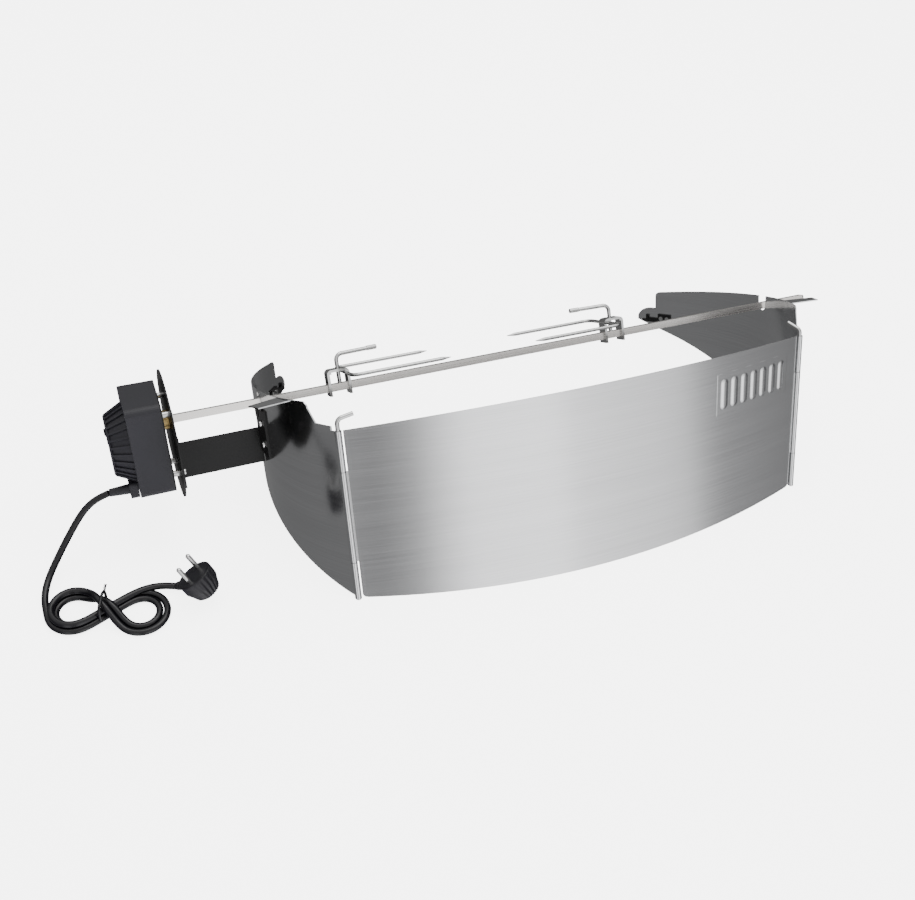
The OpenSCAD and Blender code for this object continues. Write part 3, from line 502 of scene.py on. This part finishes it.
class Nodes:
    """A node tree that nodes are added to."""

    def __init__(self, tree):
        self.nodes, self.links = tree.nodes, tree.links

    def put(self, socket, value):
        if isinstance(value, Socket):
            self.links.new(value.socket, socket)
        else:
            socket.default_value = value

    def make(self, kind, inputs=None, output=0, stops=(), **settings):
        """A node with its settings and ramp stops, its inputs set or linked, as an output socket."""
        node = self.nodes.new(kind)
        for key, value in settings.items():
            setattr(node, key, value)
        for position, color in stops:
            node.color_ramp.elements.new(position).color = color
        for key, value in (inputs or {}).items():
            self.put(node.inputs[key], value)
        return Socket(self, node.outputs[output])

    def mix(self, share, first, second):
        """Blends two colours, each given as a socket or as red, green and blue."""
        first, second = ((*v, 1) if isinstance(v, tuple) else v for v in (first, second))
        return self.make("ShaderNodeMix", {0: share, 6: first, 7: second}, output=2,
                         data_type="RGBA")

    def span(self, value, low, high, start=0.0, end=1.0):
        """Maps start..end to low..high, held at both ends."""
        return self.make("ShaderNodeMapRange", {"Value": value, "From Min": start,
                                                "From Max": end, "To Min": low, "To Max": high})


class Maker(Nodes):
    """Builds one material."""

    def __init__(self, name):
        self.material = bpy.data.materials.new(name)
        self.material.use_nodes = True
        super().__init__(self.material.node_tree)
        self.shader = self.nodes["Principled BSDF"]

    def set(self, **values):
        """Sets or links the shader's inputs, with _ for a space in their names."""
        for key, value in values.items():
            self.put(self.shader.inputs[key.replace("_", " ")], value)

    def noise(self, scale, stretch=(1, 1, 1), turn=(0, 0, 0), detail=3, rough=0.5):
        """Noise in object coordinates, in a frame that is turned first and then stretched."""
        place = self.make("ShaderNodeTexCoord", output="Object")
        shrink = tuple(1 / v for v in stretch)
        at = self.make("ShaderNodeMapping", {"Vector": place, "Rotation": turn,
                                             "Scale": shrink}, vector_type="TEXTURE")
        return self.make("ShaderNodeTexNoise", {"Vector": at, "Scale": scale, "Detail": detail,
                                                "Roughness": rough}, output="Fac")

    def bump(self, height, strength, distance):
        self.set(Normal=self.make("ShaderNodeBump", {"Height": height, "Strength": strength,
                                                     "Distance": distance}))


def brushed_sheet(name="brushed_sheet", tone=0.60):
    """Stainless sheet brushed along its length: fine streaks in shine, tone and height."""
    m = Maker(name)
    lean = (-LEAN, 0, 0)
    streak = m.noise(1, (7, 7, 2200), lean, 4, 0.65)
    broad = m.noise(1, (2.5, 2.5, 60), lean, 3)
    cloud = m.noise(5, detail=2)
    value = m.span(streak, -0.045, 0.045, 0.3, 0.7) + m.span(broad, -0.02, 0.02, 0.3, 0.7)
    light = value + tone
    m.set(Metallic=1.0, Base_Color=m.make("ShaderNodeCombineColor", {
        "Red": light, "Green": light * 1.005, "Blue": light * 1.015}))
    m.set(Roughness=m.span(streak, 0.12, 0.19, 0.3, 0.7) + m.span(cloud, -0.02, 0.03))
    m.bump(streak, 0.08, 0.00012)
    return m.material


def satin_bar():
    """The spit: drawn square bar, faint lines along it."""
    m = Maker("satin_bar")
    streak = m.noise(1, (6, 900, 900), detail=3)
    m.set(Metallic=1.0, Base_Color=m.mix(m.span(streak, 0, 1, 0.35, 0.65), (0.76, 0.73, 0.70),
                                         (0.86, 0.84, 0.81)))
    m.set(Roughness=m.span(streak, 0.22, 0.36, 0.3, 0.7))
    m.bump(streak, 0.1, 0.0001)
    return m.material


def polished(name="polished_steel", tone=0.5, rough=0.12):
    """Drawn wire and plated pins: bright, with a slight haze."""
    m = Maker(name)
    haze = m.noise(220, detail=4)
    m.set(Metallic=1.0, Base_Color=(tone, tone, tone * 0.99, 1))
    m.set(Roughness=m.span(haze, rough * 0.7, rough * 1.6, 0.3, 0.7))
    m.bump(haze, 0.06, 0.00005)
    return m.material


def black_paint():
    """Satin black powder coat with a faint orange peel."""
    m = Maker("black_coat")
    peel = m.noise(900, detail=2)
    cloud = m.noise(14, detail=3)
    m.set(Base_Color=m.mix(m.span(cloud, 0, 1, 0.3, 0.7), (0.0018, 0.0018, 0.0019),
                           (0.0034, 0.0033, 0.0034)))
    m.set(Roughness=m.span(cloud, 0.30, 0.42, 0.3, 0.7), Coat_Weight=0.03, Coat_Roughness=0.2)
    m.set(Specular_IOR_Level=0.2)
    m.bump(peel, 0.14, 0.0002)
    return m.material


def matte_plastic(name="motor_plastic", tone=(0.0085, 0.0082, 0.0118), grain=1500, rough=0.5):
    """Moulded plastic with a fine spark-eroded grain."""
    m = Maker(name)
    fine = m.noise(grain, detail=2)
    cloud = m.noise(20, detail=3)
    darker = tuple(v * 0.82 for v in tone)
    m.set(Base_Color=m.mix(m.span(cloud, 0, 1, 0.3, 0.7), darker, tone))
    m.set(Roughness=m.span(fine, rough - 0.06, rough + 0.08, 0.3, 0.7))
    m.set(Specular_IOR_Level=0.35)
    m.bump(fine, 0.2, 0.0002)
    return m.material


def rubber(name, tone, rough):
    """The soft black of a cord and its plug."""
    m = Maker(name)
    fine = m.noise(700, detail=3)
    m.set(Base_Color=m.mix(m.span(fine, 0, 1, 0.3, 0.7), tuple(v * 0.8 for v in tone), tone))
    m.set(Roughness=m.span(fine, rough - 0.05, rough + 0.07, 0.3, 0.7))
    m.set(Specular_IOR_Level=0.35)
    m.bump(fine, 0.12, 0.0002)
    return m.material


def cut_brass():
    """Brass with fine turning lines."""
    m = Maker("cut_brass")
    lines = m.noise(1, (900, 60, 60), detail=3)
    m.set(Metallic=1.0, Base_Color=m.mix(lines, (0.60, 0.42, 0.16), (0.74, 0.55, 0.25)))
    m.set(Roughness=m.span(lines, 0.22, 0.4))
    m.bump(lines, 0.1, 0.0001)
    return m.material


def wound_copper():
    """Enamelled wire: rings along the motor's axis."""
    m = Maker("wound_copper")
    place = m.make("ShaderNodeTexCoord", output="Object")
    wire = m.make("ShaderNodeTexWave", {"Vector": place, "Scale": 220.0, "Distortion": 0.4},
                  output="Fac", bands_direction="X")
    m.set(Metallic=1.0, Base_Color=m.mix(wire, (0.30, 0.09, 0.035), (0.62, 0.25, 0.11)))
    m.set(Roughness=m.span(wire, 0.4, 0.25))
    m.bump(wire, 0.5, 0.0004)
    return m.material


def paint(obj, material):
    if len(obj.data.materials) == 0:
        obj.data.materials.append(material)
    for i in range(len(obj.data.materials)):
        obj.data.materials[i] = material


FINISH = {
    "sheet_steel": brushed_sheet(),
    "spit_steel": satin_bar(),
    "bright_steel": polished(),
    "black_paint": black_paint(),
    "motor_plastic": matte_plastic(),
    "switch_plastic": matte_plastic("switch_plastic", (0.006, 0.006, 0.007), 400, 0.22),
    "gear_brass": cut_brass(),
    "motor_steel": brushed_sheet("zinc_steel", 0.5),
    "coil_copper": wound_copper(),
    "cord_rubber": rubber("cord_rubber", (0.0022, 0.0020, 0.0034), 0.30),
    "plug_rubber": rubber("plug_rubber", (0.0045, 0.0042, 0.0062), 0.42),
    "pin_metal": polished("pin_nickel", 0.55, 0.18),
}

for part in frame["record"]["subparts"]:
    paint(frame["nodes"][part["node"]], FINISH[part["material_slot"]])
for piece, finish in ([(cord, "cord_rubber"), (tie, "cord_rubber"), (plug, "plug_rubber"),
                       (pressed_bars, "sheet_steel")] + [(k, "bright_steel") for k in knurls]):
    paint(piece, FINISH[finish])


# Stage -------------------------------------------------------------------------------------

def add_floor():
    """A wide pale floor, which the polished metal doesn't mirror."""
    floor = add_mesh("floor", [(-6, -6, 0), (6, -6, 0), (6, 6, 0), (-6, 6, 0)], [(0, 1, 2, 3)],
                     smooth=False)
    floor.visible_glossy = False
    m = Maker("pale_floor")
    m.set(Base_Color=(0.93, 0.93, 0.93, 1), Roughness=0.9, Emission_Color=(1, 1, 1, 1),
          Emission_Strength=4.5)
    paint(floor, m.material)


def add_light(name, place, target, size, power):
    """A soft rectangular light at place that shines at target."""
    lamp = bpy.data.lights.new(name, "AREA")
    lamp.shape = "RECTANGLE"
    lamp.size, lamp.size_y = size
    lamp.energy = power
    obj = bpy.data.objects.new(name, lamp)
    bpy.context.scene.collection.objects.link(obj)
    back = (Vector(place) - Vector(target)).normalized()
    side = Vector((0, 0, 1)).cross(back).normalized()
    aim(obj, place, side, back.cross(side))


# heading in degrees from straight ahead of the front panel, and brightness there
STUDIO_BANDS = [(-150, 0.2), (-60, 0.24), (-48, 0.5), (-43, 2.0), (-26, 2.2), (-20, 0.6), (-12, 0.34),
                (-5, 0.62), (-2, 1.4), (4, 2.6), (18, 2.75), (22, 2.0), (34, 1.65), (41, 1.4),
                (45, 0.7), (49, 0.45), (62, 0.34), (72, 0.16), (110, 0.12)]
BEHIND = 0.2
CEILING = 1.25
BANDS_TOP, CEILING_START = 0.25, 0.6


def add_world():
    """A soft studio: a bright ceiling, and bands of light and dark round the horizon."""
    world = bpy.data.worlds.new("studio")
    bpy.context.scene.world = world
    world.use_nodes = True
    studio = Nodes(world.node_tree)
    where = studio.make("ShaderNodeTexCoord", output="Generated")
    x, y, z = (studio.make("ShaderNodeSeparateXYZ", {0: where}, output=axis) for axis in "XYZ")
    heading = studio.make("ShaderNodeMath", {0: x, 1: y * -1}, operation="ARCTAN2")
    share = studio.span(heading, 0.0, 1.0, -math.pi, math.pi)
    stops = [(at / 360 + 0.5, (level, level, level * 1.01, 1)) for at, level in STUDIO_BANDS]
    bands = studio.make("ShaderNodeValToRGB", {0: share}, stops=stops)
    ramp = bands.socket.node.color_ramp
    ramp.interpolation = "EASE"
    ramp.elements[0].color = ramp.elements[-1].color = (BEHIND, BEHIND, BEHIND, 1)
    above = studio.span(z, 0.0, 1.0, BANDS_TOP, CEILING_START)
    light = studio.mix(above, bands, (CEILING, CEILING, CEILING))
    studio.put(studio.nodes["Background"].inputs["Color"], light)


add_floor()
add_world()
add_light("ceiling", (0.3, 0.4, 2.2), (0, 0, 0), (2.2, 1.6), 38)
